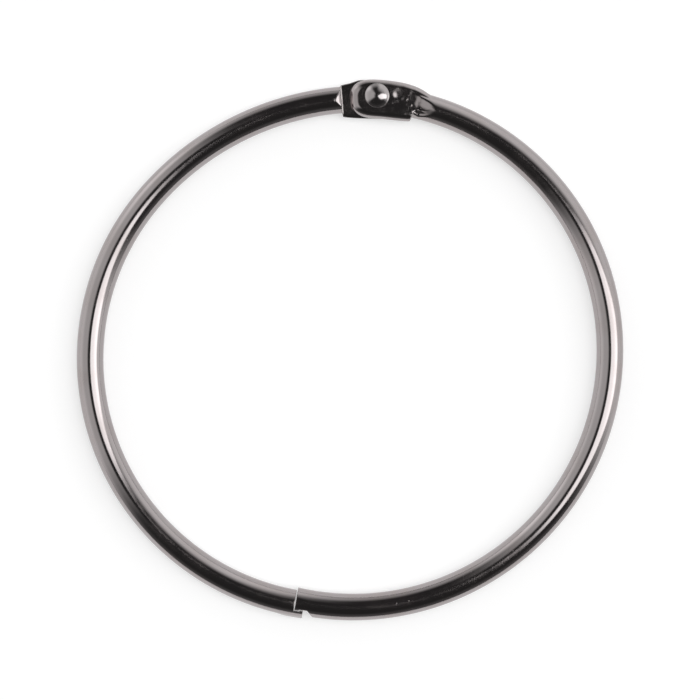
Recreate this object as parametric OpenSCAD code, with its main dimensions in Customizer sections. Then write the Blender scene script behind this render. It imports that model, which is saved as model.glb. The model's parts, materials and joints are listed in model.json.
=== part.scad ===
// Hinged binder ring: two bent wire arms, turning on one rivet, that meet end to end.
// The ring lies flat, its axis is +Z, and the surface it lies on is at z = 0.

/* [Ring] */
// Inside diameter of the closed ring
inner_d = 76; // [60:1:100]
// Diameter of the wire
wire_d = 4.2; // [3.5:0.1:5.1]
// Where the rivet stands round the ring, counter-clockwise from +X
hinge_angle = 84.2; // [76:0.1:100]
// Where the two free ends meet
seam_angle = 257.3; // [250:0.1:276]

/* [Left arm] */
// Where its upper bend runs into its lower bend
left_bend_angle = 141; // [125:1:165]
// How far outside the ring's mean line that point lies
left_bend_out = -0.27; // [-0.6:0.01:0.6]
// How much wider its lower bend is than the mean line
left_lower_over = -1.35; // [-2:0.05:1]

/* [Right arm] */
// Where its upper bend runs into its lower bend
right_bend_angle = 14; // [0:1:35]
// How far outside the ring's mean line that point lies
right_bend_out = 0.55; // [-0.6:0.01:0.6]
// How much wider its lower bend is than the mean line
right_lower_over = 0.05; // [-1:0.05:1]

/* [Hinge leaves] */
// Thickness from the ring's middle plane to a leaf's outer face
leaf_t = 1.5; // [1.2:0.05:1.65]
// Width across the rivet
leaf_w = 6.1; // [5.2:0.1:7.4]
// How far a leaf reaches past the rivet
leaf_end = 4.2; // [3.2:0.1:4.4]
// How square that end is: 2 is an ellipse, higher is squarer
leaf_squareness = 2.6; // [2:0.1:4]
// Gap between the two leaves
leaf_gap = 0.06; // [0.02:0.01:0.2]
// Distance from the rivet to the step up to the whole wire
shoulder_at = 5.4; // [5:0.1:6.5]
// Length of that step's slope
shoulder_run = 0.8; // [0.4:0.1:1.6]
// Distance from the rivet to the ramp on a leaf's outer face
ramp_at = 5.6; // [4.6:0.1:7]
// Length of that ramp
ramp_run = 3.3; // [2:0.1:5]

/* [Rivet] */
// How far outside the ring's mean line it stands
rivet_out = 0.45; // [-0.3:0.05:0.6]
// Diameter of the shank
shank_d = 2.2; // [1.6:0.1:2.7]
// Radial clearance of the shank in the right arm's hole
shank_fit = 0.05; // [0.02:0.01:0.09]
// Diameter of the domed head
head_d = 3.8; // [3.2:0.1:4.8]
// Height of the domed head
head_h = 0.9; // [0.6:0.05:1.2]
// Height of the straight edge under the dome
head_edge = 0.18; // [0.1:0.02:0.3]
// Gap between the head and the leaf under it
head_gap = 0.05; // [0.02:0.01:0.15]
// Diameter of the formed tail at the rear
tail_d = 3.4; // [2.9:0.1:4.4]
// Height of that tail
tail_h = 0.45; // [0.3:0.05:0.55]

/* [Closure] */
// How far inside the ring's mean line the left arm's free end lies
seam_in = 0.27; // [-0.5:0.01:0.6]
// How much further in the right arm's free end lies
seam_step = 0.4; // [0.2:0.05:0.5]
// Gap between the two end faces
end_gap = 0.12; // [0.05:0.01:0.2]
// Thickness of the left arm's outer tongue
tongue_t = 1; // [0.8:0.05:1.25]
// Length of that tongue
tongue_len = 1.45; // [1.2:0.05:1.8]
// Height of the tooth along the tongue's tip
tooth_h = 0.12; // [0.05:0.01:0.15]
// Length of that tooth
tooth_len = 0.5; // [0.3:0.05:0.6]
// Gap between the tongue and the right arm under it
lap_gap = 0.2; // [0.18:0.01:0.4]
// Length of the recess in the right arm
recess_len = 3; // [2.5:0.05:3.6]
// Length of the slope at the recess's far end
recess_slope = 0.9; // [0.3:0.05:0.9]
// Length of the flats on the left arm's end, front and rear
left_flat_len = 1.1; // [0.5:0.05:2]
// Length of the flats on the right arm's tip
right_flat_len = 1.1; // [0.5:0.05:2]
// Depth of those flats at the end face
flat_drop = 0.1; // [0.05:0.01:0.3]

/* [Hidden] */
$fn = 96;
left_side = -1;
right_side = 1;
wire_r = wire_d / 2;
mean_r = inner_d / 2 + wire_r;
press_end = ramp_at + ramp_run;
// A leaf's edges run into the round wire, and end this far inside it
edge_sunk = 0.1;
fade_w = sqrt(wire_r * wire_r - leaf_t * leaf_t) - edge_sunk;
// Cutting blocks reach this far past the wire
over = 1;
end_steps = 18;
side_steps = 16;
flare_power = 4;

// Points that set the arms
hinge_at = polar(mean_r, hinge_angle);
rivet_at = polar(mean_r + rivet_out, hinge_angle);
left_bend = polar(mean_r + left_bend_out, left_bend_angle);
left_end = polar(mean_r - seam_in, seam_angle);
left_lower = arc_centre(left_bend, left_end, mean_r + left_lower_over);
left_upper = upper_centre(left_bend, left_lower);
right_bend = polar(mean_r + right_bend_out, right_bend_angle);
right_end = polar(mean_r - seam_in - seam_step, seam_angle);
right_lower = arc_centre(right_end, right_bend, mean_r + right_lower_over);
right_upper = upper_centre(right_bend, right_lower);

// Levels of the closure, outward from the left arm's centre line
tongue_in = wire_r - tongue_t;
lip_out = tongue_in - lap_gap;
lip_end = tongue_len - tooth_len - tooth_h - end_gap;

function polar(r, a) = [r * cos(a), r * sin(a)];

function angle_of(v) = atan2(v[1], v[0]);

function arc_angle(r, s) = s / r * 180 / PI;

// Centre of the arc of radius r that runs counter-clockwise from p to q
function arc_centre(p, q, r) =
    let (chord = q - p, half = norm(chord) / 2)
    (p + q) / 2 + sqrt(r * r - half * half) * [-chord[1], chord[0]] / (2 * half);

// Centre of the upper bend, which leaves the lower bend smoothly and ends at the hinge
function upper_centre(bend, lower) =
    let (inward = (lower - bend) / norm(lower - bend), to_hinge = hinge_at - bend)
    bend + inward * (to_hinge * to_hinge) / (2 * to_hinge * inward);

// Signed turn about a centre that takes one point round to another
function turn_about(centre, from, to) =
    (angle_of(to - centre) - angle_of(from - centre) + 540) % 360 - 180;

// Half width of a leaf at a distance s from the rivet towards its own wire
function leaf_half_w(s) = leaf_w / 2 - (leaf_w / 2 - fade_w) * pow(s / press_end, flare_power);

// One edge of a leaf from its free end to the wire, as distance and half width
function leaf_edge() = concat(
    [for (i = [0:end_steps - 1]) let (t = 90 * i / end_steps, p = 2 / leaf_squareness)
        [-leaf_end * pow(cos(t), p), leaf_w / 2 * pow(sin(t), p)]],
    [for (i = [0:side_steps]) let (s = press_end * i / side_steps)
        [s, leaf_half_w(s)]]
);

// A point given as distance and offset, laid along a bend of radius r
function laid(p, r) =
    let (a = arc_angle(r, p[0]))
    [(r + p[1]) * sin(a), (r + p[1]) * cos(a) - r];

function leaf_outline() =
    let (edge = leaf_edge(), last = len(edge) - 1)
    concat(edge, [for (i = [last:-1:1]) [edge[i][0], -edge[i][1]]]);

// Wire that starts at the origin along y and is bent by a signed turn, on a radius r
module bend_of(r, turn)
    translate([-r, 0, 0])
        rotate_extrude(angle = turn)
            translate([r, 0])
                circle(r = wire_r);

// An arm's wire: both of its bends start where they meet, one to the tip and one to the hinge
module bent_wire(bend, lower, upper, tip, past_tip)
    let (lower_r = norm(bend - lower), lower_turn = turn_about(lower, bend, tip))
    translate([bend[0], bend[1], wire_r])
        rotate([0, 0, angle_of(bend - lower)]) {
            bend_of(lower_r, lower_turn + sign(lower_turn) * arc_angle(lower_r, past_tip));
            bend_of(norm(bend - upper), turn_about(upper, bend, hinge_at));
        }

// Places its children on an arm's upper bend, at a distance s from the hinge:
// x runs away from the rivet, y outward, and z towards the leaf's outer face
module on_arm(side, centre, s = 0)
    let (r = norm(hinge_at - centre), turn = angle_of(hinge_at - centre) - side * arc_angle(r, s))
    translate([centre[0], centre[1], wire_r])
        rotate([0, 0, turn - 90])
            translate([0, r, 0])
                rotate([0, side == right_side ? 0 : 180, 0])
                    children();

// Places its children at the seam: x is the way the right arm opens, y points inward
module at_seam()
    translate([left_end[0], left_end[1], wire_r])
        rotate([0, 0, angle_of(left_end - rivet_at) + 90])
            children();

// Block with a side view given as x and z, across the wire
module across(points)
    rotate([90, 0, 0])
        linear_extrude(2 * leaf_w, center = true)
            polygon(points);

// What is pressed away beyond the leaf's inner face, up to the shoulder. This cut and the next
// cross inside the leaf, so that the wire ends in it as a wedge
module press_cut()
    let (slope = shoulder_run / wire_r, level = leaf_t * 2 / 3, depth = wire_r + over)
    let (back = shoulder_at + over)
    across([
        [-back, level],
        [-level * slope, level],
        [depth * slope, -depth],
        [-back, -depth]
    ]);

// What is pressed away over the leaf's outer face, up to the ramp's end
module ramp_cut()
    let (slope = ramp_run / (wire_r - leaf_t), level = leaf_t / 3, top = wire_r + over)
    let (back = max(ramp_at, (leaf_t - level) * slope) + over)
    across([
        [-back, level],
        [(level - leaf_t) * slope, level],
        [(top - leaf_t) * slope, top],
        [-back, top]
    ]);

module leaf(side, centre)
    on_arm(side, centre)
        translate([0, 0, leaf_gap / 2])
            linear_extrude(leaf_t - leaf_gap / 2)
                polygon([for (p = leaf_outline()) laid(p, norm(hinge_at - centre))]);

// Takes the hinge end's round wire down to the leaf, adds the leaf and bores it
module hinged(side, centre, bore_r) {
    difference() {
        union() {
            difference() {
                children();
                on_arm(side, centre, shoulder_at)
                    press_cut();
                on_arm(side, centre, ramp_at)
                    ramp_cut();
            }
            leaf(side, centre);
        }
        translate([rivet_at[0], rivet_at[1], 0])
            cylinder(r = bore_r, h = wire_d);
    }
}

// Flats that thin an end towards +x, in front and at the rear
module end_flats(run)
    let (fall = flat_drop / run, reach = tongue_len + over)
    for (face = [0, 1])
        mirror([0, 0, face])
            across([
                [-run - over, wire_r + over * fall],
                [reach, wire_r - flat_drop - reach * fall],
                [reach, wire_r + over],
                [-run - over, wire_r + over]
            ]);

// Everything past the left arm's end face, round its outer tongue
module left_end_cut() {
    across_z([
        [0, wire_d],
        [0, -tongue_in],
        [tongue_len - tooth_len - tooth_h, -tongue_in],
        [tongue_len - tooth_len, -tongue_in + tooth_h],
        [tongue_len, -tongue_in + tooth_h],
        [tongue_len, -wire_d],
        [2 * recess_len, -wire_d],
        [2 * recess_len, wire_d]
    ]);
    end_flats(left_flat_len);
}

// Everything before the right arm's end face, and the recess for the tongue
module right_end_cut() {
    across_z([
        [-2 * recess_len, wire_d],
        [end_gap, wire_d],
        [end_gap, -lip_out],
        [lip_end, -lip_out],
        [lip_end + tooth_h, -lip_out + tooth_h],
        [recess_len - recess_slope, -lip_out + tooth_h],
        [recess_len, seam_step - wire_r],
        [recess_len, -wire_d],
        [-2 * recess_len, -wire_d]
    ]);
    translate([end_gap, 0, 0])
        mirror([1, 0, 0])
            end_flats(right_flat_len);
}

// Block with a plan view given as x and y, right through the wire
module across_z(points)
    linear_extrude(2 * wire_d, center = true)
        polygon(points);

module left_arm() {
    color("gainsboro")
        hinged(left_side, left_upper, shank_d / 2)
            difference() {
                bent_wire(left_bend, left_lower, left_upper, left_end, tongue_len + over);
                at_seam()
                    left_end_cut();
            }
}

module right_arm() {
    color("silver")
        hinged(right_side, right_upper, shank_d / 2 + shank_fit)
            difference() {
                bent_wire(right_bend, right_lower, right_upper, right_end, over);
                at_seam()
                    right_end_cut();
            }
}

module rivet() {
    leaf_front = wire_r + leaf_t;
    leaf_rear = wire_r - leaf_t;
    head_at = leaf_front + head_gap;
    dome_h = head_h - head_edge;
    dome_r = (head_d * head_d / 4 + dome_h * dome_h) / (2 * dome_h);
    color("whitesmoke")
        translate([rivet_at[0], rivet_at[1], 0]) {
            translate([0, 0, leaf_rear - tail_h / 2])
                cylinder(d = shank_d, h = head_at - leaf_rear + tail_h);
            translate([0, 0, leaf_rear - tail_h])
                cylinder(d = tail_d, h = tail_h);
            intersection() {
                translate([0, 0, head_at + head_h - dome_r])
                    sphere(r = dome_r);
                translate([0, 0, head_at])
                    cylinder(d = head_d, h = head_h);
            }
        }
}

left_arm();
right_arm();
rivet();
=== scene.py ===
# A hinged binder ring: two nickel-plated wire arms on one rivet, lying flat on a white table.
# Sizes are in millimetres here, as in the model that this is built around, and turn to metres at the end.
import json
import math

import bmesh
import bpy
from mathutils import Matrix, Vector, noise


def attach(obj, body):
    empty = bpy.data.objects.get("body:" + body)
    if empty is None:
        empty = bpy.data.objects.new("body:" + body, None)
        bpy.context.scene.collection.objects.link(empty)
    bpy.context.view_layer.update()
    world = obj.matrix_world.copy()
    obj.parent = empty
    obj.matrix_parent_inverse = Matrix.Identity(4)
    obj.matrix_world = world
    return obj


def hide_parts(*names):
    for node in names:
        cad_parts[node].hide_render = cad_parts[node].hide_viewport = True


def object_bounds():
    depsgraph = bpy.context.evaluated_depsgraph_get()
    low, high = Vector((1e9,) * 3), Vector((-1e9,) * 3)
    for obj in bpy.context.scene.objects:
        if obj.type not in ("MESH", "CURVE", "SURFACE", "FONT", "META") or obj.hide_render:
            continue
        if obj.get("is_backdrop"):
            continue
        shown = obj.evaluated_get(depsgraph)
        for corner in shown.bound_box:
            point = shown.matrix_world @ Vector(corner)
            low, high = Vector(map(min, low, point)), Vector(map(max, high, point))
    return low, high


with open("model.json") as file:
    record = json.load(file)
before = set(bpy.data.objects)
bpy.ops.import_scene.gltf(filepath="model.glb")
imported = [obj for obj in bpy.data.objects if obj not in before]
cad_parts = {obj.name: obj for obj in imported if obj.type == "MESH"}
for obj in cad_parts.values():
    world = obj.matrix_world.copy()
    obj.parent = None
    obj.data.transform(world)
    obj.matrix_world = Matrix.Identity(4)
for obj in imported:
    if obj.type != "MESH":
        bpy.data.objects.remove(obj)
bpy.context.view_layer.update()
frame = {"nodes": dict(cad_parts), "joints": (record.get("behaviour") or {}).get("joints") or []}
print("frame loaded:", sorted(frame["nodes"]))

mm = 0.001
hinge = frame["joints"][0]
rivetAt = Vector(hinge["pos_m"][:2]) / mm

ringSizes = {
    "innerDiameter": 76,
    "wireDiameter": 4.2,
    "hingeAngle": 84.2,
    "seamAngle": 257.3,
}
leafSizes = {
    "thickness": 1.5,  # from the ring's middle plane to a leaf's outer face
    "width": 6.1,
    "freeEnd": 4.2,  # how far a leaf reaches past the rivet
    "squareness": 2.6,
    "gap": 0.06,
    "edgeWidth": 1.05,  # how far the rounding of a leaf's outer face reaches in from its edge
    "edgeUnder": 0.28,  # height of the small rounding beside the other leaf
    "shoulderAt": 5.4,
    "footRound": 0.2,  # radius at the shoulder's foot
    "browRound": 1.5,  # how gently the press leans the wire's top over above the shoulder
    "browWidth": 1.0,
    "rampAt": 5.6,
    "rampRun": 3.3,
    "rampCrown": 5,  # radius of the ramp from side to side
    "rampCrest": 0.7,  # how far outside the wire's middle the ramp is highest
    "crownRun": 1.5,  # distance over which the crown sets in
    "sunk": 0.1,
    "sunkWidth": 1.3,  # half width that the leaf keeps inside the wire
    "flarePower": {-1: 3, 1: 4},  # how late a leaf narrows, by side: -1 is the left arm, 1 the right
    "outerTrim": {-1: 0.34, 1: 0},  # how much narrower a leaf's outer edge gets, by side
    "trimFrom": 2.4,  # where the trim sets in and where it is full
    "trimTo": 4.4,
    "stepFrom": {-1: 5.45, 1: 5.75},  # where the spread edges end, by side
    "stepTo": {-1: 5.7, 1: 6.3},
    "dent": 0.085,  # depth of the press's unevenness
    "dentSpacing": 1.7,
    "edgeBlend": 0.4,  # how softly a leaf's spread edge flows into the wire
    "faceBlend": 0.12,
    "pressEdge": 0.2,  # rounding where the press cuts into the wire
    "shoulderEdge": 0.07,  # and where the shoulder's wall meets it
    "pressFrom": 3,  # the press's cuts count beyond this distance from the rivet
    "footSlope": 4,  # how steeply the shoulder's cut falls away towards the rivet
    "rootBefore": 1.2,  # a leaf's section shrinks over this stretch before and after the ramp's end
    "rootAfter": 1.6,
    "rootShare": 0.4,  # what is left of it, which is hidden inside the wire
    "fadeFrom": 9,  # where the rings stop being laid out as a leaf, and where they are laid out as a wire
    "fadeTo": 15,
}
closureSizes = {
    "seamIn": 0.27,
    "seamStep": 0.4,
    "endGap": 0.12,
    "tongueThickness": 1,
    "tongueLength": 1.45,
    "toothHeight": 0.12,
    "toothLength": 0.5,
    "lapGap": 0.2,
    "recessLength": 3,
    "recessSlope": 0.9,
    "leftFlat": 1.1,
    "rightFlat": 1.1,
    "flatDrop": 0.05,
    "edge": 0.07,  # rounding of the sawn end faces
    "levelEdge": 0.13,  # rounding along the lap's levels
    "halfFrom": 60,  # the half of an arm that has the closure starts at this distance from the hinge
    "reach": 12,  # the saw's cuts count up to this distance from the seam
    "skewFull": 4,  # up to this distance from the seam, rings lie in planes that are parallel to it
    "skewNone": 9,  # and from this distance on they are square to the wire
    "middleOut": 1.6,  # how far outside the wire's middle the left arm's sections are measured from, at the seam
    "middleFull": 1.2,  # it is all of that up to this distance from the seam
    "middleNone": 8,  # and the wire's own middle from this one on
    "faceFrom": 0.00002,  # a sawn face stands in this sliver, between two rings
    "faceTo": 0.00008,
    "pastFace": 0.0001,
}
meshSizes = {
    "around": 144,  # points round the wire
    "freeEndRings": 26,
    "wireStep": 0.55,  # distance between rings along the plain wire
    "leafStep": 0.25,
    "shoulderStep": 0.022,
    "rampStep": 0.09,
    "fadeStep": 0.3,
    "beforeShoulder": 0.8,  # how far past each feature its own step is kept
    "afterShoulder": 0.2,
    "afterRamp": 1.2,
    "fadeEnd": 16,
    "edgeRings": (0.75, 0.5, 0.3, 0.12, 0.0),  # places of the rings in a sawn edge's rounding
    "samePlace": 0.0000002,  # points nearer than this, in metres, are one
}
tiny = 0.0001  # keeps a divisor clear of zero

wireR = ringSizes["wireDiameter"] / 2
meanR = ringSizes["innerDiameter"] / 2 + wireR


# Node trees are written as sums: a Value is one socket, and maths on it adds a Math node
class Value:
    def __init__(self, graph, socket):
        self.graph = graph
        self.socket = socket

    def __add__(self, other):
        return self.graph.maths("ADD", self, other)

    def __radd__(self, other):
        return self.graph.maths("ADD", other, self)

    def __sub__(self, other):
        return self.graph.maths("SUBTRACT", self, other)

    def __rsub__(self, other):
        return self.graph.maths("SUBTRACT", other, self)

    def __mul__(self, other):
        return self.graph.maths("MULTIPLY", self, other)

    def __rmul__(self, other):
        return self.graph.maths("MULTIPLY", other, self)

    def __truediv__(self, other):
        return self.graph.maths("DIVIDE", self, other)

    def __rtruediv__(self, other):
        return self.graph.maths("DIVIDE", other, self)

    def __pow__(self, other):
        return self.graph.maths("POWER", self, other)

    def __rpow__(self, other):
        return self.graph.maths("POWER", other, self)

    def __neg__(self):
        return self.graph.maths("MULTIPLY", self, -1)


class Graph:
    def __init__(self, tree):
        self.tree = tree

    def node(self, kind, settings=None, inputs=None):
        made = self.tree.nodes.new(kind)
        for name, value in (settings or {}).items():
            setattr(made, name, value)
        for name, value in (inputs or {}).items():
            self.feed(made.inputs[name], value)
        return made

    def feed(self, socket, value):
        if isinstance(value, Value):
            value = value.socket
        if isinstance(value, bpy.types.NodeSocket):
            self.tree.links.new(value, socket)
        else:
            socket.default_value = value

    def value(self, made, output=0):
        return Value(self, made.outputs[output])

    def maths(self, operation, *values):
        return self.value(self.node("ShaderNodeMath", {"operation": operation}, dict(enumerate(values))))

    def sin(self, x):
        return self.maths("SINE", x)

    def cos(self, x):
        return self.maths("COSINE", x)

    def sqrt(self, x):
        return self.maths("SQRT", x)

    def abs(self, x):
        return self.maths("ABSOLUTE", x)

    def max(self, a, b):
        return self.maths("MAXIMUM", a, b)

    def min(self, a, b):
        return self.maths("MINIMUM", a, b)

    def softMin(self, a, b, distance):
        return self.maths("SMOOTH_MIN", a, b, distance)

    def softMax(self, a, b, distance):
        return self.maths("SMOOTH_MAX", a, b, distance)

    # Runs from low to high as x goes from start to end, and stays there outside
    def between(self, x, start, end, low=0.0, high=1.0, shape="LINEAR"):
        made = self.node(
            "ShaderNodeMapRange",
            {"clamp": True, "interpolation_type": shape},
            {"Value": x, "From Min": start, "From Max": end, "To Min": low, "To Max": high},
        )
        return self.value(made)

    def ease(self, x, start, end, low=0.0, high=1.0):
        return self.between(x, start, end, low, high, "SMOOTHSTEP")

    # A chain of straight runs through the given points
    def chain(self, x, points):
        total = points[0][1]
        for (x0, y0), (x1, y1) in zip(points, points[1:]):
            if y1 != y0:
                total = total + self.between(x, x0, x1, 0.0, y1 - y0)
        return total


# Where the arms run
def polar(radius, degrees):
    return Vector((radius * math.cos(math.radians(degrees)), radius * math.sin(math.radians(degrees))))


def angleOf(v):
    return math.atan2(v.y, v.x)


# Centre of the arc of this radius from p to q, which runs anticlockwise
def arcCentre(p, q, radius):
    chord = q - p
    half = chord.length / 2
    return (p + q) / 2 + math.sqrt(radius**2 - half**2) * Vector((-chord.y, chord.x)) / (2 * half)


# Centre of the upper bend, which joins the lower one smoothly and passes through the hinge
def upperCentre(bend, lower):
    inward = (lower - bend).normalized()
    toHinge = hingeAt - bend
    return bend + inward * toHinge.dot(toHinge) / (2 * toHinge.dot(inward))


def turnAbout(centre, start, end):
    return (angleOf(end - centre) - angleOf(start - centre) + 3 * math.pi) % (2 * math.pi) - math.pi


hingeAt = polar(meanR, ringSizes["hingeAngle"])
seamAt = polar(meanR - closureSizes["seamIn"], ringSizes["seamAngle"])
arms = {
    "left": {"side": -1, "bendAngle": 141, "bendOut": -0.27, "lowerOver": -1.35, "tip": seamAt},
    "right": {
        "side": 1,
        "bendAngle": 14,
        "bendOut": 0.55,
        "lowerOver": 0.05,
        "tip": polar(meanR - closureSizes["seamIn"] - closureSizes["seamStep"], ringSizes["seamAngle"]),
    },
}
for arm in arms.values():
    arm["bend"] = polar(meanR + arm["bendOut"], arm["bendAngle"])
    ends = (arm["bend"], arm["tip"]) if arm["side"] < 0 else (arm["tip"], arm["bend"])
    arm["lower"] = arcCentre(*ends, meanR + arm["lowerOver"])
    arm["upper"] = upperCentre(arm["bend"], arm["lower"])
    arm["lowerR"] = (arm["bend"] - arm["lower"]).length
    arm["upperR"] = (hingeAt - arm["upper"]).length
    arm["upperLength"] = arm["upperR"] * abs(turnAbout(arm["upper"], hingeAt, arm["bend"]))

# The seam's own directions: along is the way the right arm opens, inward is towards the ring's middle
seamTurn = angleOf(seamAt - rivetAt) + math.pi / 2
seamAlong = Vector((math.cos(seamTurn), math.sin(seamTurn)))
seamInward = Vector((-seamAlong.y, seamAlong.x))


# Distance from the hinge at which an arm's centre line crosses a plane of the seam
def distanceAtSeam(arm, x):
    toCentre = (arm["lower"] - seamAt).dot(seamAlong)
    turn = math.acos((x - toCentre) / arm["lowerR"])
    start = angleOf(arm["bend"] - arm["lower"])
    swept = (-arm["side"] * (seamTurn - turn - start)) % (2 * math.pi)
    return arm["upperLength"] + arm["lowerR"] * swept


# Rings of points along an arm, as ring number and distance from the hinge
def ringKnots(arm):
    leaf, cut, grain = leafSizes, closureSizes, meshSizes
    knots = [(grain["freeEndRings"], 0.0)]

    def run(to, step):
        count, place = knots[-1]
        knots.append((count + max(1, round(abs(to - place) / step)), to))

    shoulderEnd = leaf["shoulderAt"] + leaf["footRound"] + leaf["browWidth"]
    run(leaf["shoulderAt"] - grain["beforeShoulder"], grain["leafStep"])
    run(shoulderEnd + grain["afterShoulder"], grain["shoulderStep"])
    run(leaf["rampAt"] + leaf["rampRun"] + grain["afterRamp"], grain["rampStep"])
    run(grain["fadeEnd"], grain["fadeStep"])

    # Towards the closure: places along the seam's direction, and the spacing up to each
    edge, pastFace = cut["edge"], cut["pastFace"]
    if arm["side"] < 0:
        tip = cut["tongueLength"]
        rise = tip - cut["toothLength"] - cut["toothHeight"]
        stops = [(-cut["skewNone"], grain["wireStep"]), (-1.9, 0.35), (-edge, 0.07)]
        stops += [(-edge * share, 1) for share in grain["edgeRings"]] + [(pastFace, 1)]
        stops += [(rise, 0.12), (rise + cut["toothHeight"], 0.03), (tip - edge, 0.1)]
        stops += [(tip - edge * share, 1) for share in grain["edgeRings"]] + [(tip + pastFace, 1)]
    else:
        tip = cut["endGap"]
        lip = cut["tongueLength"] - cut["toothLength"] - cut["toothHeight"] - cut["endGap"]
        slope = cut["recessLength"] - cut["recessSlope"]
        stops = [(cut["skewNone"], grain["wireStep"]), (cut["recessLength"] + 0.4, 0.35), (slope - 0.1, 0.04)]
        stops += [(lip + cut["toothHeight"], 0.08), (lip, 0.03), (tip + edge, 0.06)]
        stops += [(tip + edge * share, 1) for share in grain["edgeRings"]] + [(tip - pastFace, 1)]
    for x, step in stops:
        run(distanceAtSeam(arm, x), step)
    return knots


# The arm's tree: a grid whose rows are rings along the arm and whose columns run round it
def armTree(name, arm):
    tree = bpy.data.node_groups.new(name + "Shape", "GeometryNodeTree")
    graph = Graph(tree)
    leaf, cut = leafSizes, closureSizes
    values = {
        "Wire radius": wireR,
        "Leaf half width": leaf["width"] / 2,
        "Leaf outer face": leaf["thickness"],
        "Leaf gap": leaf["gap"],
        "Leaf edge width": leaf["edgeWidth"],
        "Leaf edge under": leaf["edgeUnder"],
        "Leaf free end": leaf["freeEnd"],
        "Leaf squareness": leaf["squareness"],
        "Shoulder at": leaf["shoulderAt"],
        "Foot round": leaf["footRound"],
        "Brow round": leaf["browRound"],
        "Brow width": leaf["browWidth"],
        "Ramp at": leaf["rampAt"],
        "Ramp run": leaf["rampRun"],
        "Ramp crown": leaf["rampCrown"],
        "Ramp crest": leaf["rampCrest"],
        "Edge blend": leaf["edgeBlend"],
        "Face blend": leaf["faceBlend"],
        "Press edge": leaf["pressEdge"],
        "Flat drop": cut["flatDrop"],
        "Flat length": cut["leftFlat"] if arm["side"] < 0 else cut["rightFlat"],
        "Saw edge": cut["edge"],
        "Level edge": cut["levelEdge"],
        "Upper radius": arm["upperR"],
        "Lower radius": arm["lowerR"],
        "Upper length": arm["upperLength"],
    }
    for socketName in values:
        tree.interface.new_socket(name=socketName, in_out="INPUT", socket_type="NodeSocketFloat")
    tree.interface.new_socket(name="Geometry", in_out="OUTPUT", socket_type="NodeSocketGeometry")
    entry = graph.node("NodeGroupInput")
    size = {socketName: graph.value(entry, socketName) for socketName in values}
    side = arm["side"]
    columns = meshSizes["around"] + 1
    knots = ringKnots(arm)
    rings = knots[-1][0] + 1

    grid = graph.node("GeometryNodeMeshGrid", None, {"Vertices X": rings, "Vertices Y": columns})
    index = graph.value(graph.node("GeometryNodeInputIndex"))
    ring = graph.maths("FLOOR", (index + 0.5) / columns)
    column = index - ring * columns

    # Distance along the arm: first round the leaf's free end, then on to the closure
    endTurn = graph.between(ring, 0, meshSizes["freeEndRings"], 0.0, math.pi / 2)
    endPower = 2 / size["Leaf squareness"]
    endCos = graph.max(graph.cos(endTurn), 0.0)
    endSin = graph.max(graph.sin(endTurn), 0.0)
    beyond = graph.chain(ring, knots)
    along = beyond - size["Leaf free end"] * endCos**endPower

    # The centre line: an upper bend, then a lower bend
    isLower = graph.maths("GREATER_THAN", along, size["Upper length"])
    upperStart = angleOf(hingeAt - arm["upper"])
    lowerStart = angleOf(arm["bend"] - arm["lower"])
    upperAngle = upperStart - side * along / size["Upper radius"]
    lowerAngle = lowerStart - side * (along - size["Upper length"]) / size["Lower radius"]
    angle = upperAngle + isLower * (lowerAngle - upperAngle)
    radius = size["Upper radius"] + isLower * (size["Lower radius"] - size["Upper radius"])
    centreX = arm["upper"].x + isLower * (arm["lower"].x - arm["upper"].x)
    centreY = arm["upper"].y + isLower * (arm["lower"].y - arm["upper"].y)
    outX, outY = graph.cos(angle), graph.sin(angle)
    goX, goY = side * outY, -side * outX
    lineX = centreX + radius * outX
    lineY = centreY + radius * outY

    # The leaf's section: flat faces with full round edges, which close up round its free end
    count = meshSizes["around"]
    midW = (size["Leaf outer face"] + size["Leaf gap"] / 2) / 2
    widestW = size["Leaf gap"] / 2 + size["Leaf edge under"]
    edgeWidth = size["Leaf edge width"]
    corner = count / 8
    sectionStops = [corner * k for k in (0, 1, 3, 5, 7, 8)]
    edgeTurn = graph.chain(column, list(zip(sectionStops, (0.0, 0.5, 0.5, 1.5, 1.5, 2.0)))) * math.pi
    across = graph.chain(column, list(zip(sectionStops, (1.0, 1.0, -1.0, -1.0, 1.0, 1.0))))
    halfW = size["Leaf half width"]
    squareness = size["Leaf squareness"]
    share = ((halfW - edgeWidth) * across + edgeWidth * graph.cos(edgeTurn)) / halfW
    reach = (endCos**2 + graph.abs(share) ** squareness * endSin**2) ** (1 / squareness)
    flatReach = (halfW - edgeWidth) / halfW
    rim = graph.between(reach, flatReach, 1.0)
    isOuter = graph.maths("GREATER_THAN", graph.sin(edgeTurn), 0.0)
    edgeHeight = isOuter * (size["Leaf outer face"] - widestW) + (isOuter - 1) * size["Leaf edge under"]
    leafHeight = edgeHeight * graph.sqrt(graph.max(1 - rim**2, 0.0))
    pressEnd = size["Ramp at"] + size["Ramp run"]
    fadeW = graph.sqrt(size["Wire radius"] ** 2 - size["Leaf outer face"] ** 2) - leaf["sunk"]
    flare = (graph.max(along, 0.0) / pressEnd) ** leaf["flarePower"][side]
    spread = halfW * endSin**endPower - (halfW - fadeW) * flare
    isOutside = graph.maths("GREATER_THAN", share, 0.0)
    spread = spread - isOutside * graph.ease(along, leaf["trimFrom"], leaf["trimTo"]) * leaf["outerTrim"][side]
    stepSide = 1 - isOutside if side > 0 else 1.0
    stepped = graph.ease(along, leaf["stepFrom"][side], leaf["stepTo"][side])
    spread = spread - stepSide * stepped * (spread - leaf["sunkWidth"])
    spread = graph.max(spread, graph.min(leaf["sunkWidth"], halfW * endSin**endPower))
    leafV = spread * share
    leafW = widestW - midW + leafHeight
    leafR = graph.sqrt(leafV**2 + leafW**2)

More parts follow.
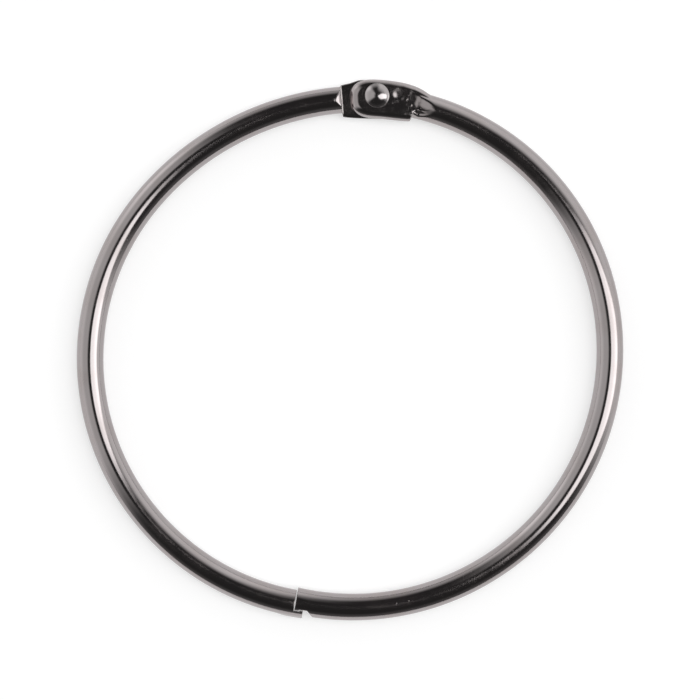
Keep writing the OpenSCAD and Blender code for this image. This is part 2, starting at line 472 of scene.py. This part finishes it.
    # Directions in which the section is measured from its middle
    wireTurn = column * (2 * math.pi / count)
    toWire = graph.ease(along, leaf["fadeFrom"], leaf["fadeTo"])
    least = 0.000001
    aimV = leafV / graph.max(leafR, least)
    aimW = leafW / graph.max(leafR, least)
    aimV = aimV + toWire * (graph.cos(wireTurn) - aimV)
    aimW = aimW + toWire * (graph.sin(wireTurn) - aimW)
    aimLength = graph.max(graph.sqrt(aimV**2 + aimW**2), least)
    aimV, aimW = aimV / aimLength, aimW / aimLength

    # The seam's own measures at this ring
    fromSeamX, fromSeamY = lineX - seamAt.x, lineY - seamAt.y
    seamX = fromSeamX * seamAlong.x + fromSeamY * seamAlong.y
    seamY = fromSeamX * seamInward.x + fromSeamY * seamInward.y
    otherHalf = graph.between(along, cut["halfFrom"], cut["halfFrom"] + 1, 100.0, 0.0)
    before = graph.abs(seamX) + otherHalf
    nearSeam = graph.maths("LESS_THAN", before, cut["reach"])
    outAlong = outX * seamAlong.x + outY * seamAlong.y
    goAlong = goX * seamAlong.x + goY * seamAlong.y
    skew = -(outAlong / goAlong) * graph.ease(before, cut["skewFull"], cut["skewNone"], 1.0, 0.0)
    stepX, stepY = outX + skew * goX, outY + skew * goY
    farthest = -0.5  # keeps the sections that the seam doesn't reach clear of a division by nothing
    outInward = graph.min(stepX * seamInward.x + stepY * seamInward.y, farthest)

    # The round wire, seen from the section's middle
    middleV = 0.0
    if side < 0:
        middleV = graph.ease(before, cut["middleFull"], cut["middleNone"], cut["middleOut"], 0.0)
    middleW = midW * (1 - toWire)
    inLine = middleV * aimV + middleW * aimW
    fromMiddle = middleV * middleV + middleW * middleW
    wireReach = graph.sqrt(graph.max(inLine**2 - fromMiddle + size["Wire radius"] ** 2, 0.0)) - inLine

    # What the press takes off at the hinge end: the ramp over the leaf, and the shoulder beyond it
    rampSlope = (size["Wire radius"] - size["Leaf outer face"]) / size["Ramp run"]
    rampTop = size["Leaf outer face"] + (along - size["Ramp at"]) * rampSlope
    acrossRamp = graph.min((rampTop - middleW) / graph.max(aimW, tiny), wireReach) * aimV
    crowned = graph.ease(along, size["Ramp at"], size["Ramp at"] + leaf["crownRun"]) / (2 * size["Ramp crown"])
    rampTop = rampTop - (acrossRamp - size["Ramp crest"]) ** 2 * crowned
    rampReach = (rampTop - middleW) / graph.max(aimW, tiny)
    footRound, browRound, browWidth = size["Foot round"], size["Brow round"], size["Brow width"]
    upShoulder = along - size["Shoulder at"]
    fromFoot = graph.min(graph.abs(upShoulder), footRound)
    foot = footRound - graph.sqrt(graph.max(footRound**2 - fromFoot**2, 0.0))
    fromBrow = graph.min(graph.max(footRound + browWidth - upShoulder, 0.0), browWidth)
    brow = browRound - graph.sqrt(browRound**2 - fromBrow**2)
    isWall = graph.maths("GREATER_THAN", upShoulder, footRound)
    shoulder = isWall * (brow - size["Wire radius"] + foot) - foot
    shoulder = shoulder + graph.max(-upShoulder, 0.0) * leaf["footSlope"]
    shoulder = shoulder - graph.max(upShoulder - footRound - browWidth, 0.0)
    shoulderReach = (middleW - shoulder) / graph.max(-aimW, tiny)
    pressed = graph.softMin(wireReach, rampReach, size["Press edge"])
    pressed = graph.softMin(pressed, shoulderReach, leaf["shoulderEdge"])
    pressed = graph.max(pressed, 0.0) * graph.maths("GREATER_THAN", along, leaf["pressFrom"])
    blend = size["Face blend"] + (size["Edge blend"] - size["Face blend"]) * aimV**2
    rootFrom, rootTo = pressEnd - leaf["rootBefore"], pressEnd + leaf["rootAfter"]
    leafLeft = graph.ease(along, rootFrom, rootTo, 1.0, leaf["rootShare"])
    section = graph.softMax(pressed, leafR * leafLeft, blend)

    # What the saw takes off at the closure
    fall = size["Flat drop"] / size["Flat length"]
    saw, rounding = size["Saw edge"], size["Level edge"]

    # How much of the sawn edge's rounding is taken off, for a share from 0 to 1 of the way into it
    def rounded(into):
        return saw * (1 - graph.sqrt(graph.max(1 - into**2, 0.0)))

    # 1 before a sawn face and 0 past it
    def faceAt(place):
        return graph.between(seamX, place + cut["faceFrom"], place + cut["faceTo"], 1.0, 0.0)

    if side < 0:
        flatW = size["Wire radius"] - fall * (seamX + size["Flat length"])
        tip = cut["tongueLength"]
        rise = tip - cut["toothLength"] - cut["toothHeight"]
        tongueIn = wireR - cut["tongueThickness"]
        toothTop = rise + cut["toothHeight"]
        level = graph.between(seamX, rise, toothTop, -tongueIn, -tongueIn + cut["toothHeight"])
        flatReachW = flatW / graph.max(graph.abs(aimW), tiny)
        whole = graph.softMin(section, flatReachW, rounding)
        limitV = (level - seamY) / outInward
        tongue = graph.softMin(whole, (middleV - limitV) / graph.max(-aimV, tiny), rounding)
        whole = (whole - rounded(graph.between(seamX, -cut["edge"], 0.0))) * faceAt(0.0)
        tongue = (tongue - rounded(graph.between(seamX, tip - cut["edge"], tip))) * faceAt(tip)
        ended = graph.max(whole, tongue)
    else:
        tip = cut["endGap"]
        flatW = size["Wire radius"] + fall * (seamX - tip - size["Flat length"])
        lip = cut["tongueLength"] - cut["toothLength"] - cut["toothHeight"] - cut["endGap"]
        lipOut = wireR - cut["tongueThickness"] - cut["lapGap"]
        slope = cut["recessLength"] - cut["recessSlope"]
        floorOut = lipOut - cut["toothHeight"]
        beyondWire = -wireR - 0.8  # past the recess the level is outside the wire and takes nothing off
        levels = [(lip, -lipOut), (lip + cut["toothHeight"], -floorOut), (slope, -floorOut)]
        levels += [(cut["recessLength"], cut["seamStep"] - wireR), (cut["recessLength"] + 1, beyondWire)]
        level = graph.chain(seamX, levels)
        limitV = (level - seamY) / outInward
        whole = graph.softMin(section, flatW / graph.max(graph.abs(aimW), tiny), rounding)
        whole = graph.softMin(whole, limitV / graph.max(aimV, tiny), rounding)
        whole = whole - rounded(graph.between(seamX, tip + cut["edge"], tip))
        ended = whole * graph.between(seamX, tip - cut["faceTo"], tip - cut["faceFrom"], 0.0, 1.0)
    section = section + nearSeam * (ended - section)

    # The pressed faces are slightly uneven: less round the rivet, not at all on the wire or on an inner face
    spot = graph.node("ShaderNodeCombineXYZ", None, {"X": along, "Y": section * aimV, "Z": 4.0 * side})
    dentNoise = {"Vector": spot.outputs[0], "Scale": 1 / leaf["dentSpacing"], "Detail": 1.0}
    dents = graph.value(graph.node("ShaderNodeTexNoise", None, dentNoise))
    dents = graph.ease(dents, 0.3, 0.7) * leaf["dent"]
    dents = dents * graph.ease(along, -1.0, 3.5, 0.2, 1.0) * graph.ease(along, 6.0, 9.0, 1.0, 0.0)
    dents = dents * graph.ease(aimW, 0.0, 0.8)

    v = middleV + section * aimV
    w = middleW + section * aimW - dents
    placeX = (lineX + v * stepX) * mm
    placeY = (lineY + v * stepY) * mm
    placeZ = (size["Wire radius"] + side * w) * mm
    place = graph.node("ShaderNodeCombineXYZ", None, {"X": placeX, "Y": placeY, "Z": placeZ})
    shaped = {"Geometry": grid.outputs["Mesh"], "Position": place.outputs[0]}
    moved = graph.node("GeometryNodeSetPosition", None, shaped)

    # UV: along the wire in metres and once round it. It is worked out on the points, whose numbers it follows
    wrap = graph.node("ShaderNodeCombineXYZ", None, {"X": along * mm, "Y": column / count, "Z": 0.0})
    onPoints = graph.node("GeometryNodeFieldOnDomain", {"data_type": "FLOAT_VECTOR", "domain": "POINT"})
    graph.feed(onPoints.inputs[0], wrap.outputs[0])
    mapped = graph.node(
        "GeometryNodeStoreNamedAttribute",
        {"data_type": "FLOAT2", "domain": "CORNER"},
        {"Geometry": moved.outputs[0], "Name": "UVMap", "Value": onPoints.outputs[0]},
    )
    merged = {"Geometry": mapped.outputs[0], "Distance": meshSizes["samePlace"]}
    closed = graph.node("GeometryNodeMergeByDistance", None, merged)
    smoothed = {"Geometry": closed.outputs[0], "Shade Smooth": True}
    smooth = graph.node("GeometryNodeSetShadeSmooth", None, smoothed)
    real = graph.node("GeometryNodeRealizeInstances", None, {"Geometry": smooth.outputs[0]})
    metal = {"Geometry": real.outputs[0], "Material": arm["material"]}
    painted = graph.node("GeometryNodeSetMaterial", None, metal)
    graph.node("NodeGroupOutput", None, {"Geometry": painted.outputs[0]})
    return tree, values


# Runs a tree on an empty mesh object and keeps what it makes as a plain mesh
def grown(name, tree, values):
    piece = bpy.data.objects.new(name, bpy.data.meshes.new(name + "Seed"))
    bpy.context.scene.collection.objects.link(piece)
    modifier = piece.modifiers.new("shape", "NODES")
    modifier.node_group = tree
    for item in tree.interface.items_tree:
        if item.in_out == "INPUT":
            modifier[item.identifier] = values[item.name]
    settle(piece, name)
    return piece


# Turns a piece with live modifiers into a plain mesh
def settle(piece, name):
    bpy.context.view_layer.update()
    mesh = bpy.data.meshes.new_from_object(piece.evaluated_get(bpy.context.evaluated_depsgraph_get()))
    mesh.name = name
    piece.modifiers.clear()
    piece.data = mesh


# Faces point outwards, and only real corners stay sharp
def tidyMesh(piece, sharpAngle=50):
    work = bmesh.new()
    work.from_mesh(piece.data)
    bmesh.ops.remove_doubles(work, verts=work.verts, dist=meshSizes["samePlace"])
    bmesh.ops.dissolve_degenerate(work, edges=work.edges, dist=meshSizes["samePlace"] / 2)
    bmesh.ops.recalc_face_normals(work, faces=work.faces)
    for face in work.faces:
        face.smooth = True
    work.to_mesh(piece.data)
    work.free()
    piece.data.set_sharp_from_angle(angle=math.radians(sharpAngle))


# Marks how sharply the surface bends at each point, in radians per millimetre, for the wear along edges
def markWear(piece, rounds=2, sharpest=8.0):
    work = bmesh.new()
    work.from_mesh(piece.data)
    layer = work.verts.layers.float.new("wear")
    bends = {}
    for edge in work.edges:
        if len(edge.link_faces) == 2:
            area = max(sum(face.calc_area() for face in edge.link_faces) / 2, 1e-13)
            bends[edge] = min(edge.calc_face_angle(0.0) * edge.calc_length() * mm / area, sharpest)
    for vert in work.verts:
        vert[layer] = sum(bends.get(edge, 0.0) for edge in vert.link_edges) / max(len(vert.link_edges), 1)
    for _ in range(rounds):
        means = []
        for vert in work.verts:
            near = [edge.other_vert(vert)[layer] for edge in vert.link_edges]
            means.append((vert[layer] + sum(near)) / (1 + len(near)))
        for vert, mean in zip(work.verts, means):
            vert[layer] = mean
    work.to_mesh(piece.data)
    work.free()


rivetSizes = {
    "shank": 2.2,
    "fit": 0.05,
    "headDiameter": 3.8,
    "headHeight": 0.9,
    "headEdge": 0.18,
    "headGap": 0.05,
    "tailDiameter": 3.4,
    "tailHeight": 0.45,
    "rim": 0.09,  # rounding of the head's edge, and half of the tail's
    "neck": 0.05,  # the shank's ends widen by this much
    "neckHeight": 0.03,
    "around": 128,
    "domeRings": 40,
    "rimRings": 12,
    "uneven": 0.02,
    "unevenScale": 0.9,
}


# Takes a round hole through a piece at the rivet
def bore(piece, radius):
    drill = bpy.data.objects.new("drill", bpy.data.meshes.new("drill"))
    bpy.context.scene.collection.objects.link(drill)
    work = bmesh.new()
    across, depth = radius * mm, 20 * mm
    around = rivetSizes["around"]
    bmesh.ops.create_cone(work, cap_ends=True, segments=around, radius1=across, radius2=across, depth=depth)
    work.to_mesh(drill.data)
    work.free()
    drill.data.transform(Matrix.Translation((rivetAt.x * mm, rivetAt.y * mm, 0)))
    cutter = piece.modifiers.new("bore", "BOOLEAN")
    cutter.operation = "DIFFERENCE"
    cutter.solver = "EXACT"
    cutter.object = drill
    settle(piece, piece.name)
    bpy.data.objects.remove(drill)


# A profile, as radius and height, turned round the rivet's axis
def turned(name, profile, around, uneven):
    mesh = bpy.data.meshes.new(name)
    piece = bpy.data.objects.new(name, mesh)
    bpy.context.scene.collection.objects.link(piece)
    work = bmesh.new()
    rows = []
    for radius, height in profile:
        row = []
        for step in range(around):
            turn = 2 * math.pi * step / around
            spot = Vector((radius * math.cos(turn), radius * math.sin(turn), height))
            spot.z -= uneven * (1 + noise.noise(spot * rivetSizes["unevenScale"])) / 2
            row.append(work.verts.new((spot + Vector((rivetAt.x, rivetAt.y, 0))) * mm))
        rows.append(row)
    for lower, upper in zip(rows, rows[1:]):
        for step in range(around):
            after = (step + 1) % around
            work.faces.new((lower[step], lower[after], upper[after], upper[step]))
    bmesh.ops.remove_doubles(work, verts=work.verts, dist=meshSizes["samePlace"])
    work.to_mesh(mesh)
    work.free()
    return piece


# Dark nickel plate over drawn wire: faint draw lines, cloudy patches, pits and worn edges
armLook = {
    "colour": (0.365, 0.335, 0.335, 1),
    "cloudColour": (0.345, 0.31, 0.305, 1),
    "wornColour": (0.42, 0.395, 0.39, 1),
    "pitColour": (0.17, 0.145, 0.14, 1),
    "roughness": 0.11,
    "roughnessSpread": 0.07,
    "cloudScale": 160,
    "hazeScale": 1400,
    "pitScale": 900.0,
    "tintShare": 0.7,  # how strongly clouds, wear and pits change the colour
    "hairlineTurn": (0.2, 0.1, 0.9),
    "hairlineScale": (420, 26, 420),
    "hairlineWidth": 0.006,
    "drawLines": 0.5,  # strength of the lines that drawing left along the wire
    "drawScale": (70, 200, 1),
    "ripple": 0.35,
    "rippleScale": 230,
    "seed": 3.0,
}
rivetLook = dict(
    armLook,
    colour=(0.375, 0.35, 0.35, 1),
    roughness=0.13,
    drawLines=0.0,
    ripple=0.6,
    seed=8.0,
)
# Heights in the bump, in millimetres
reliefHeights = {"drawLine": 0.003, "ripple": 0.02, "hairline": 0.0015, "pit": 0.01}


def platedMetal(name, look):
    material = bpy.data.materials.new(name)
    material.use_nodes = True
    tree = material.node_tree
    graph = Graph(tree)
    shader = tree.nodes["Principled BSDF"]
    shader.inputs["Metallic"].default_value = 1.0

    def vectors(operation, first, second):
        return graph.node("ShaderNodeVectorMath", {"operation": operation}, {0: first, 1: second}).outputs[0]

    place = graph.node("ShaderNodeTexCoord").outputs["Object"]
    seeded = vectors("ADD", place, (look["seed"] * 0.1, 0, 0))

    def noiseAt(scale, detail, distortion=0.0, vector=seeded):
        inputs = {"Vector": vector, "Scale": scale, "Detail": detail, "Distortion": distortion}
        return graph.value(graph.node("ShaderNodeTexNoise", None, inputs))

    def mixed(factor, first, second):
        colours = {0: factor, 6: first, 7: second}  # the sockets of a colour mix: factor, A and B
        return graph.node("ShaderNodeMix", {"data_type": "RGBA"}, colours).outputs[2]

    clouds = graph.ease(noiseAt(look["cloudScale"], 2.0, 0.4), 0.42, 0.66)
    haze = noiseAt(look["hazeScale"], 2.0)
    skewing = {"Vector": seeded, "Rotation": look["hairlineTurn"], "Scale": look["hairlineScale"]}
    skewed = graph.node("ShaderNodeMapping", None, skewing).outputs[0]
    fromLine = graph.abs(noiseAt(1.0, 1.0, 0.3, skewed) - 0.5)
    hairlines = graph.between(fromLine, 0.0, look["hairlineWidth"], 1.0, 0.0)
    hairlines = hairlines * clouds
    cells = {"Vector": seeded, "Scale": look["pitScale"]}
    pitCells = graph.node("ShaderNodeTexVoronoi", {"feature": "F1"}, cells)
    pits = graph.between(graph.value(pitCells), 0.04, 0.09, 1.0, 0.0) * graph.ease(clouds, 0.7, 0.9)
    wear = graph.value(graph.node("ShaderNodeAttribute", {"attribute_name": "wear"}), "Fac")
    worn = graph.ease(wear + (haze - 0.5) * 1.2, 1.0, 3.0)

    tint = look["tintShare"]
    colour = mixed(clouds * tint, look["colour"], look["cloudColour"])
    colour = mixed(worn * tint, colour, look["wornColour"])
    colour = mixed(pits * tint, colour, look["pitColour"])
    graph.feed(shader.inputs["Base Color"], colour)
    rough = look["roughness"] + look["roughnessSpread"] * (haze - 0.5) + 0.04 * clouds
    rough = rough + 0.12 * worn + 0.2 * pits + 0.06 * hairlines
    graph.feed(shader.inputs["Roughness"], graph.max(rough, 0.03))

    # Draw lines run along the wire, so they follow its UV map
    relief = reliefHeights
    wrap = graph.node("ShaderNodeUVMap", {"uv_map": "UVMap"}).outputs[0]
    lines = noiseAt(1.0, 2.0, 0.0, vectors("MULTIPLY", wrap, look["drawScale"]))
    height = look["drawLines"] * lines * relief["drawLine"]
    height = height + look["ripple"] * noiseAt(look["rippleScale"], 1.0) * relief["ripple"]
    height = height - hairlines * relief["hairline"] - pits * relief["pit"]
    bump = graph.node("ShaderNodeBump", None, {"Strength": 1.0, "Distance": mm, "Height": height})
    graph.feed(shader.inputs["Normal"], bump.outputs[0])
    return material


armMetal = platedMetal("armPlating", armLook)
rivetMetal = platedMetal("rivetPlating", rivetLook)
print("materials made")

pieces = {}
for name, arm in arms.items():
    arm["material"] = armMetal
    tree, values = armTree(name + "Arm", arm)
    piece = grown(name + "Arm", tree, values)
    bore(piece, rivetSizes["shank"] / 2 + (rivetSizes["fit"] if name == "right" else 0))
    tidyMesh(piece)
    markWear(piece)
    pieces[name] = piece
    print(name, "arm made:", len(piece.data.vertices), "points,", len(piece.data.polygons), "faces")


# Radius and height of the rivet's outline, from the top of its dome down to the middle of its tail
def rivetProfile():
    size = rivetSizes
    front = wireR + leafSizes["thickness"] + size["headGap"]
    rear = wireR - leafSizes["thickness"]
    top = front + size["headHeight"]
    low = rear - size["tailHeight"]
    headR, tailR = size["headDiameter"] / 2, size["tailDiameter"] / 2
    shankR, rim = size["shank"] / 2, size["rim"]
    neck, neckHeight = size["neck"], size["neckHeight"]
    domeRings, rimRings = size["domeRings"], size["rimRings"]
    domeH = size["headHeight"] - size["headEdge"]
    domeR = (headR**2 + domeH**2) / (2 * domeH)
    reach = math.asin((headR - rim) / domeR)
    profile = [(0, top)]
    for step in range(1, domeRings + 1):
        turn = reach * step / domeRings
        profile.append((domeR * math.sin(turn), top - domeR * (1 - math.cos(turn))))

    # A half round edge of this height, from the ring at step 0 down to the last
    def edge(radius, rounding, bottom, height, first):
        for step in range(first, rimRings + 1):
            turn = math.pi * (0.5 - step / rimRings)
            out = radius - rounding + rounding * math.cos(turn)
            profile.append((out, bottom + height * (0.5 + 0.5 * math.sin(turn))))

    edge(headR, rim, front, profile[-1][1] - front, 1)
    profile.append((shankR + neck, front))
    profile.append((shankR, front - neckHeight))
    profile.append((shankR, rear + neckHeight))
    profile.append((shankR + neck, rear))
    edge(tailR, rim * 2, low, size["tailHeight"], 0)
    profile.append((0, low))
    return profile


rivetPiece = turned("rivetBody", rivetProfile(), rivetSizes["around"], rivetSizes["uneven"])
rivetPiece.data.materials.append(rivetMetal)
tidyMesh(rivetPiece)
markWear(rivetPiece)
print("rivet made")

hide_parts("left_arm")
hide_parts("right_arm")
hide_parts("rivet")
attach(pieces["left"], "fixed_arm")
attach(rivetPiece, "fixed_arm")
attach(pieces["right"], "opening_arm")

# A white table, which looks the same to the camera, to metal and to glass
tableLook = {"half": 2, "paper": 0.55, "lift": 0.53}
half = tableLook["half"]
floorMesh = bpy.data.meshes.new("tableTop")
corners = [(-half, -half, 0), (half, -half, 0), (half, half, 0), (-half, half, 0)]
floorMesh.from_pydata(corners, [], [(0, 1, 2, 3)])
floor = bpy.data.objects.new("tableTop", floorMesh)
bpy.context.scene.collection.objects.link(floor)
floor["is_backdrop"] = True
floorMaterial = bpy.data.materials.new("tableWhite")
floorMaterial.use_nodes = True
floorGraph = Graph(floorMaterial.node_tree)
floorGraph.tree.nodes.clear()
path = floorGraph.node("ShaderNodeLightPath")
cameraRay, glossyRay, glassRay = (
    floorGraph.value(path, kind) for kind in ("Is Camera Ray", "Is Glossy Ray", "Is Transmission Ray")
)
lift = floorGraph.max(floorGraph.max(cameraRay, glossyRay), glassRay) * tableLook["lift"]
paper = floorGraph.node("ShaderNodeBsdfDiffuse", None, {"Color": (tableLook["paper"],) * 3 + (1,)})
glow = floorGraph.node("ShaderNodeEmission", None, {"Color": (1, 1, 1, 1), "Strength": lift})
both = floorGraph.node("ShaderNodeAddShader", None, {0: paper.outputs[0], 1: glow.outputs[0]})
floorGraph.node("ShaderNodeOutputMaterial", None, {"Surface": both.outputs[0]})
floorMesh.materials.append(floorMaterial)
print("table made")

# Soft boxes round the table, in degrees: how far they reach round it and above it, and how soft their edges are
softBoxes = {
    "left": {
        "azimuth": 168,
        "width": 84,
        "low": -30,
        "high": 74,
        "softSides": 24,
        "softTop": 14,
        "level": 0.76,
    },
    "leftLow": {
        "azimuth": 165,
        "width": 90,
        "low": -30,
        "high": 28,
        "softSides": 30,
        "softTop": 30,
        "level": 0.20,
    },
    "right": {
        "azimuth": 28,
        "width": 98,
        "low": -30,
        "high": 48,
        "softSides": 30,
        "softTop": 40,
        "level": 1.0,
    },
    "rear": {
        "azimuth": 108,
        "width": 76,
        "low": -30,
        "high": 28,
        "softSides": 24,
        "softTop": 30,
        "level": 0.48,
    },
}
# The key lamp is a panel in the ceiling, measured from overhead in units of its height above the table,
# and its two sides are cut back along lines that run from overhead, which are in degrees
keyPanel = {
    "near": 0.12,
    "far": 1.9,
    "front": -0.40,
    "back": 0.30,
    "soft": 0.10,
    "softFar": 1.2,
    "level": 2.3,
    "azimuth": -8,
    "width": 72,
    "softSides": 14,
}
roomLook = {"ceiling": 0.036, "horizon": 0.14, "horizonEnds": 5, "ceilingStarts": 40, "softBottom": 12}
pastTable = 1.0  # the white that the camera sees past the table's edge, where the metal sees the room

world = bpy.data.worlds.new("studio")
bpy.context.scene.world = world
world.use_nodes = True
sky = Graph(world.node_tree)
sky.tree.nodes.clear()
direction = sky.node("ShaderNodeTexCoord")
parts = sky.node("ShaderNodeSeparateXYZ", None, {0: direction.outputs["Generated"]})
dx, dy, dz = (sky.value(parts, k) for k in range(3))
elevation = sky.maths("ARCSINE", dz) * (180 / math.pi)


# 1 above a limit, or below it where falling, over an edge this soft
def rises(x, limit, soft, falling=False):
    start, end = (1.0, 0.0) if falling else (0.0, 1.0)
    return sky.ease(x, limit - soft / 2, limit + soft / 2, start, end)


# 1 within a window of this width about an azimuth
def inWindow(box):
    turn = math.radians(box["azimuth"])
    sideways = dy * math.cos(turn) - dx * math.sin(turn)
    towards = dx * math.cos(turn) + dy * math.sin(turn)
    offAzimuth = sky.abs(sky.maths("ARCTAN2", sideways, towards)) * (180 / math.pi)
    return rises(offAzimuth, box["width"] / 2, box["softSides"], falling=True)


level = sky.ease(
    elevation, roomLook["horizonEnds"], roomLook["ceilingStarts"], roomLook["horizon"], roomLook["ceiling"]
)
for box in softBoxes.values():
    over = rises(elevation, box["high"], box["softTop"], falling=True)
    under = rises(elevation, box["low"], roomLook["softBottom"])
    level = level + inWindow(box) * over * under * box["level"]
upward = sky.max(dz, 0.001)
panelX, panelY = dx / upward, dy / upward
panel = rises(panelX, keyPanel["near"], keyPanel["soft"])
panel = panel * rises(panelX, keyPanel["far"], keyPanel["softFar"], falling=True)
panel = panel * rises(panelY, keyPanel["front"], keyPanel["soft"])
panel = panel * rises(panelY, keyPanel["back"], keyPanel["soft"], falling=True)
panel = panel * inWindow(keyPanel)
level = level + panel * sky.maths("GREATER_THAN", dz, 0.0) * keyPanel["level"]
level = level + sky.value(sky.node("ShaderNodeLightPath"), "Is Camera Ray") * (pastTable - level)
backdrop = sky.node("ShaderNodeBackground", None, {"Color": (1, 1, 1, 1), "Strength": level})
sky.node("ShaderNodeOutputWorld", None, {"Surface": backdrop.outputs[0]})

# A broad lamp overhead, in metres and watts. It lights the table and stays out of the metal's dark ceiling
lampLook = {"size": 0.8, "energy": 3.1, "place": (0.08, 0.1, 0.98)}
lamp = bpy.data.lights.new("overheadLamp", "AREA")
lamp.shape = "DISK"
lamp.size = lampLook["size"]
lamp.energy = lampLook["energy"]
overhead = bpy.data.objects.new("overheadLamp", lamp)
overhead.location = lampLook["place"]
overhead.rotation_euler = (-overhead.location).to_track_quat("-Z", "Y").to_euler()
overhead.visible_glossy = False
bpy.context.scene.collection.objects.link(overhead)
print("lights made")

# Straight above the ring, which lies flat
cameraLook = {"lens": 135, "sensor": 36, "viewWidth": 110}
low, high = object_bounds()
middle = (Vector(low) + Vector(high)) / 2
camera = bpy.data.cameras.new("camera")
camera.lens = cameraLook["lens"]
camera.sensor_width = cameraLook["sensor"]
cameraObject = bpy.data.objects.new("camera", camera)
height = cameraLook["viewWidth"] * mm * camera.lens / camera.sensor_width
cameraObject.location = (middle.x, middle.y, height)
bpy.context.scene.collection.objects.link(cameraObject)
bpy.context.scene.camera = cameraObject
bpy.context.scene.view_settings.view_transform = "Standard"
print("camera made")
